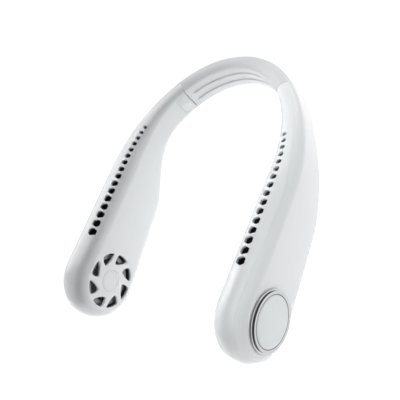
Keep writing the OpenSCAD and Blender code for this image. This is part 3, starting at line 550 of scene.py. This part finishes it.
silicone = finish("satin silicone", (0.79, 0.80, 0.812), (0.76, 0.772, 0.785), 0.36, 0.05,
                  bump=0.00001, grain=3200, patches=20, coat_weight=0.15, coat_roughness=0.3)
sleeve = drawn(loft(band_rows, band_columns, band_point), "neck_band")
placed(sleeve, "right", "band", [silicone], ["band_sleeve"], soften=50)

# Grille centres. A plain gloss white cap is pressed into the middle of each grille on a short
# peg. Only the fine line round its edge and one fine circle on its face show.


def turned(profile, place, steps=128):
    """A solid of revolution from (radius, height) points that start and end on the axis."""
    bm = bmesh.new()
    verts = [bm.verts.new((r, 0, z)) for r, z in profile]
    edges = [bm.edges.new(pair) for pair in zip(verts, verts[1:])]
    bmesh.ops.spin(bm, geom=verts + edges, cent=(0, 0, 0), axis=(0, 0, 1), angle=2 * pi,
                   steps=steps, use_merge=True, use_duplicate=False)
    bmesh.ops.remove_doubles(bm, verts=bm.verts[:], dist=0.001)
    bmesh.ops.recalc_face_normals(bm, faces=bm.faces[:])
    bmesh.ops.transform(bm, matrix=place, verts=bm.verts[:])
    return bm


for side in sides:
    cap = drawn(turned([(0, 1.6), (1.9, 1.6), (peg_r, 1.4), (peg_r, 1.1), (7.5, 1.1), (hub_r, 1.0),
                        (hub_r, 0.12), (7.57, 0.04), (7.48, 0), (6.15, 0), (6.1, 0.1),
                        (5.95, 0.1), (5.9, 0), (3, 0), (0, 0)],
                       at_head(-arm_t)), side + "_grille_cap")
    placed(cap, side, side + "_arm", [gloss_white], [side + "_grille_hub"])

# Side discs. Each head carries a stepped ring of chromed ABS. The black under its lip is painted
# shadow, and the black in its step is a painted dark reflection. A flat satin insert of pale grey
# is pressed into it, round which a thin black seal shows.
chrome = finish("bright chrome", (0.6, 0.61, 0.615), (0.53, 0.54, 0.545), 0.07, 0.03, metal=1.0,
                bump=0.000002, grain=700, smudges=140)
painted_shade_reflection_and_seal = finish("black painted shadow, painted reflection and seal", (0.03, 0.031, 0.032), (0.02, 0.02, 0.021), 0.22, 0.03,
                    smudges=140)
pale_satin = finish("pale satin insert", (0.79, 0.82, 0.83), (0.77, 0.8, 0.81), 0.33, 0.04,
                    bump=0.000006, grain=5000, patches=10)


def square_ring(r, outer_r, low, high):
    return turned([(r, low), (outer_r, low), (outer_r, high), (r, high), (r, low)], face, 160)


face = at_head(arm_t)
for side in sides:
    stepped = turned([(16.9, 0.1), (17, 0), (18.6, 0), (18.6, 0.55), (19.3, 0.58), (19.75, 0.62),
                      (19.93, 0.72), (20, 0.88), (20, 1), (19.93, 1.15), (19.75, 1.24),
                      (19.3, 1.28), (18.9, 1.3), (18.4, 1.3), (18.4, 2.38), (18.85, 2.38),
                      (18.85, 2.46), (18.78, 2.54), (18.64, 2.59), (18.4, 2.6), (17.9, 2.55),
                      (17.2, 2.42), (17.02, 2.36), (16.93, 2.28), (16.9, 2.15), (16.9, 0.1)],
                     face, 160)
    # First black ring: painted shadow under the lip; second: painted dark reflection in the step;
    # third: the real seal round the insert
    dark = gather([square_ring(18.62, 19.1, 0.02, 0.54), square_ring(18.42, 18.87, 1.32, 2.36),
                   square_ring(16.46, 16.88, 0.05, 2.13)])
    for f in dark.faces:
        f.material_index = 1
    ring = drawn(gather([stepped, dark]), side + "_chrome_ring")
    placed(ring, side, side + "_arm", [chrome, painted_shade_reflection_and_seal], [side + "_disc_ring"])
    plate = drawn(turned([(0, 0), (16.35, 0), (16.44, 0.1), (16.44, 2.14), (16.39, 2.29),
                          (16.28, 2.37), (16.1, 2.4), (12, 2.4), (6, 2.4), (0, 2.4)], face, 160),
                  side + "_pale_insert")
    placed(plate, side, side + "_arm", [pale_satin], [side + "_disc_insert"])


def dress(material, *names):
    for name in names:
        for place in nodes[name].material_slots:
            place.material = material


def pair(name):
    return "left_" + name, "right_" + name


impeller_grey = finish("dark impeller nylon", (0.4, 0.405, 0.41), (0.27, 0.275, 0.28), 0.42,
                        0.08, bump=0.00001, grain=2200)
can_steel = finish("nickelled steel", (0.62, 0.61, 0.59), (0.52, 0.51, 0.5), 0.27, 0.08, metal=1.0,
                   grain=900)
ground_steel = finish("ground steel", (0.66, 0.66, 0.67), (0.56, 0.56, 0.57), 0.16, 0.05, metal=1.0)
magnet = finish("bonded ferrite", (0.085, 0.083, 0.082), (0.05, 0.05, 0.05), 0.6, 0.08,
                bump=0.00003, grain=1500)
laminations = finish("varnished laminations", (0.2, 0.19, 0.175), (0.13, 0.125, 0.12), 0.4, 0.1,
                     metal=0.8)
bronze = finish("oil-soaked bronze", (0.52, 0.36, 0.18), (0.38, 0.25, 0.12), 0.38, 0.08, metal=1.0,
                bump=0.00002, grain=3000)
dress(impeller_grey, *pair("impeller"))
dress(can_steel, *pair("rotor_can"))
dress(magnet, *pair("magnet_ring"))
dress(ground_steel, *pair("shaft"))
dress(laminations, *pair("stator"))
dress(bronze, *pair("bearing"))

# Motor windings. Enamelled copper wire lies in tight turns round each tooth, so a fine wave
# runs across the coils.
copper = finish("enamelled copper", (0.62, 0.24, 0.09), (0.42, 0.14, 0.05), 0.3, 0.06, metal=1.0)
n, link = copper.node_tree.nodes, copper.node_tree.links.new
turns = n.new("ShaderNodeTexWave")
turns.wave_type, turns.bands_direction = "BANDS", "X"
turns.inputs["Scale"].default_value = 900
turns.inputs["Distortion"].default_value = 0.6
where = n.new("ShaderNodeTexCoord")
link(where.outputs["Object"], turns.inputs["Vector"])
relief = n.new("ShaderNodeBump")
relief.inputs["Strength"].default_value = 0.6
relief.inputs["Distance"].default_value = 0.0001
link(turns.outputs["Fac"], relief.inputs["Height"])
link(relief.outputs["Normal"], n["Principled BSDF"].inputs["Normal"])
dress(copper, *pair("coils"))

# Motor bases and screws. Each motor stands on a small plate of die-cast alloy, held by three
# steel screws from inside.
cast_alloy = finish("die-cast alloy", (0.55, 0.56, 0.57), (0.44, 0.45, 0.46), 0.45, 0.1, metal=1.0,
                    bump=0.00004, grain=1300)
plated = finish("zinc-plated steel", (0.6, 0.61, 0.62), (0.5, 0.5, 0.5), 0.3, 0.1, metal=1.0,
                bump=0.00001)
dress(cast_alloy, *pair("motor_base"))
dress(plated, *pair("motor_screws"))

# Air ducts. The scroll round each fan is moulded in matt grey plastic. The floor under the outlets
# is given a dark colour as painted shade, so that the openings look dark from outside.
# Dark colour here is painted shade inside the outlets
outlet_floor_painted_shade = finish("outlet floor painted dark as shade", (0.14, 0.144, 0.15), (0.1, 0.103, 0.107), 0.5, 0.1,
                   bump=0.00002, grain=1600)
scroll_grey = finish("grey scroll plastic", (0.45, 0.46, 0.465), (0.36, 0.365, 0.37), 0.45, 0.08,
                     bump=0.00002, grain=1600)
dress(outlet_floor_painted_shade, *pair("duct_floor"))
dress(scroll_grey, *pair("volute"))

# Batteries and leads. A lithium cell in shrink film lies along the lower edge of each arm in
# two rubber rings, and silicone-covered leads run to the hinge.
film = finish("blue shrink film", (0.05, 0.2, 0.42), (0.035, 0.15, 0.34), 0.28, 0.08,
              bump=0.00001, grain=700, coat_weight=0.3)
rubber = finish("black rubber", (0.05, 0.05, 0.052), (0.03, 0.03, 0.032), 0.75, 0.08,
                bump=0.00005, grain=1800)
lead_red = finish("red lead", (0.5, 0.04, 0.03), (0.4, 0.025, 0.02), 0.4, 0.08, bump=0.00001)
dress(film, *pair("battery"))
dress(rubber, *pair("cell_pads"))
dress(lead_red, *pair("harness"))

# Hinges. Nylon blocks are screwed inside the arms, and steel plates riveted to the band's
# spring strip turn between their ears on steel pins. A flat cable runs beside the strip.
nylon = finish("natural nylon", (0.66, 0.65, 0.6), (0.58, 0.57, 0.53), 0.42, 0.08, bump=0.00001,
               subsurface_weight=0.08)
cable_grey = finish("grey flat cable", (0.2, 0.2, 0.21), (0.14, 0.14, 0.15), 0.5, 0.08,
                    bump=0.00002)
spring = finish("blued spring steel", (0.4, 0.42, 0.46), (0.3, 0.32, 0.36), 0.24, 0.06, metal=1.0)
dress(nylon, *pair("hinge_block"))
dress(plated, *pair("hinge_plate"), *pair("block_screws"), "plate_rivets", "board_screw")
dress(ground_steel, *pair("hinge_pin"))
dress(spring, "spring_strip")
dress(cable_grey, "band_cable")

# Controls. A green circuit board behind the left outer face carries the switch and the
# charging socket, and a clear pipe leads its lamps to the four holes.
solder_mask = finish("green solder mask", (0.03, 0.2, 0.09), (0.015, 0.11, 0.05), 0.3, 0.06,
                     bump=0.00002, grain=900, coat_weight=0.4)
switch_black = finish("black switch body", (0.06, 0.06, 0.062), (0.04, 0.04, 0.042), 0.45, 0.08)
stamped = finish("stamped stainless steel", (0.6, 0.6, 0.6), (0.5, 0.5, 0.5), 0.25, 0.08,
                 metal=1.0, bump=0.000005)
clear = finish("frosted light pipe", (0.82, 0.86, 0.87), (0.74, 0.79, 0.8), 0.3, 0.06,
               transmission_weight=0.35, ior=1.49)
dress(solder_mask, "control_board")
dress(switch_black, "tact_switch")
dress(stamped, "usb_socket")
dress(clear, "light_pipe")

# Power button. A gloss white cap with a shallow dish for the fingertip stands just proud of
# the left outer face, on a flange that keeps it in.
button_room, flange_t, button_proud = 0.3, 0.5, 0.5
button_back = face_n - wall - button_room - flange_t
top = face_n + button_proud - button_back
cap = drawn(turned([(0, 0), (4.5, 0), (4.6, 0.1), (4.6, 0.4), (4.5, flange_t), (3.8, flange_t),
                    (3.8, top - 0.22), (3.74, top - 0.08), (3.6, top), (3.35, top - 0.01),
                    (2.6, top - 0.11), (1.3, top - 0.2), (0, top - 0.23)],
                   at_face(control_s, button_back - face_n) @ upright, 96), "power_cap")
placed(cap, "left", "power_button", [gloss_white], ["power_button"])

# Studio. The part lies on a lit white table, as in the photograph, so its lower faces are the
# bright ones. Soft lamps stand at the left, behind and above, and a small one over the right
# arm. A dark card that only reflections see gives the left arm's rounding its soft grey band.


def white_seen(tree, seen_share):
    """Factor for the white background, for the rays that look at it rather than light from it."""
    n, link = tree.nodes, tree.links.new
    path = n.new("ShaderNodeLightPath")
    looks = [path.outputs[name] for name in
             ("Is Camera Ray", "Is Glossy Ray", "Is Transmission Ray")]
    for count in range(2):
        either = n.new("ShaderNodeMath")
        either.operation = "MAXIMUM"
        link(looks.pop(), either.inputs[0])
        link(looks.pop(), either.inputs[1])
        looks.append(either.outputs["Value"])
    share = n.new("ShaderNodeMath")
    share.operation = "MULTIPLY"
    share.inputs[1].default_value = seen_share
    link(looks[0], share.inputs[0])
    return share.outputs["Value"]


bm = bmesh.new()
floor_half = 4
bmesh.ops.create_grid(bm, x_segments=1, y_segments=1, size=floor_half)
floor = drawn(bm, "floor")
paper = bpy.data.materials.new("lit white table")
paper.use_nodes = True
n, link = paper.node_tree.nodes, paper.node_tree.links.new
shader = n["Principled BSDF"]
shader.inputs["Base Color"].default_value = (0.9, 0.9, 0.9, 1)
shader.inputs["Roughness"].default_value = 0.9
shader.inputs["Specular IOR Level"].default_value = 0
shader.inputs["Emission Color"].default_value = (1, 1, 1, 1)
shader.inputs["Emission Strength"].default_value = 0.9
white = n.new("ShaderNodeEmission")
white.inputs["Color"].default_value = (1, 1, 1, 1)
white.inputs["Strength"].default_value = 0.9
both = n.new("ShaderNodeMixShader")
link(white_seen(paper.node_tree, 0.7), both.inputs["Fac"])
link(shader.outputs["BSDF"], both.inputs[1])
link(white.outputs["Emission"], both.inputs[2])
link(both.outputs["Shader"], n["Material Output"].inputs["Surface"])
floor.data.materials.append(paper)

card_top = bmesh.new()
bmesh.ops.create_grid(card_top, x_segments=1, y_segments=1, size=0.5,
                      matrix=Matrix.LocRotScale((-0.035, -0.07, 0.19), None, (0.13, 0.38, 1)))
card_front = bmesh.new()
bmesh.ops.create_grid(card_front, x_segments=1, y_segments=1, size=0.5,
                      matrix=Matrix.Translation((-0.06, -0.26, 0.13))
                      @ Matrix.Rotation(pi / 2, 4, "X") @ Matrix.Diagonal((0.2, 0.12, 1, 1)))
card = drawn(gather([card_top, card_front]), "dark_card")
card_black = bpy.data.materials.new("black card")
card_black.use_nodes = True
shader = card_black.node_tree.nodes["Principled BSDF"]
shader.inputs["Base Color"].default_value = (0.01, 0.01, 0.01, 1)
shader.inputs["Specular IOR Level"].default_value = 0
card.data.materials.append(card_black)
card.visible_camera = card.visible_diffuse = card.visible_shadow = False
card.visible_transmission = False

world = bpy.context.scene.world or bpy.data.worlds.new("studio")
bpy.context.scene.world = world
world.use_nodes = True
n, link = world.node_tree.nodes, world.node_tree.links.new
n["Background"].inputs["Color"].default_value = (1, 1, 1, 1)
level = n.new("ShaderNodeMix")
level.data_type = "FLOAT"
level.inputs["A"].default_value = 0.12
level.inputs["B"].default_value = 1
link(white_seen(world.node_tree, 1), level.inputs["Factor"])
link(level.outputs["Result"], n["Background"].inputs["Strength"])


def lamp(name, at, aim, size, power, spread=180):
    """A round soft lamp of that width in metres, power in watts and spread in degrees."""
    light = bpy.data.lights.new(name, "AREA")
    light.shape, light.size, light.energy, light.spread = "DISK", size, power, radians(spread)
    made = bpy.data.objects.new(name, light)
    bpy.context.scene.collection.objects.link(made)
    made.location = at
    made.rotation_euler = (Vector(aim) - Vector(at)).to_track_quat("-Z", "Y").to_euler()
    return made


lamp("left_lamp", (-1.5, 0.35, 0.6), (0, 0, 0.03), 1.2, 3.9)
lamp("back_left_lamp", (-0.9, 0.9, 1.25), (0, 0, 0.03), 1.4, 4.3)
lamp("back_lamp", (0, 0.9, 0.35), (0, 0, 0.03), 0.6, 1.4)
lamp("front_left_lamp", (-0.8, -1, 0.9), (0, 0, 0.03), 1.2, 3.7).visible_glossy = False
lamp("top_lamp", (0, 0, 1.6), (0, 0, 0), 1.2, 1.7)
lamp("right_arm_lamp", (0.15, 0, 0.7), (0.09, 0, 0.03), 0.3, 0.105, 20).visible_glossy = False

view = bpy.data.cameras.new("photo_view")
view.sensor_width, view.sensor_fit, view.lens = 36, "HORIZONTAL", 64.31
view.clip_start, view.clip_end = 0.01, 20
camera = bpy.data.objects.new("photo_view", view)
bpy.context.scene.collection.objects.link(camera)
right, down, ahead = (Vector((0.7593, 0.3703, -0.5351)), Vector((0.1009, -0.8793, -0.4655)),
                      Vector((-0.6429, 0.2995, -0.705)))
stand = Matrix((right, -down, -ahead)).transposed().to_4x4()
stand.translation = Vector((0.3168, -0.1535, 0.384))
tilt = Matrix.Translation((0, -mid_y / 1000, -low_z / 1000)) @ Matrix.Rotation(-rest_turn, 4, "X")
camera.matrix_world = tilt @ stand
bpy.context.scene.camera = camera
bpy.context.scene.view_settings.view_transform = "Standard"
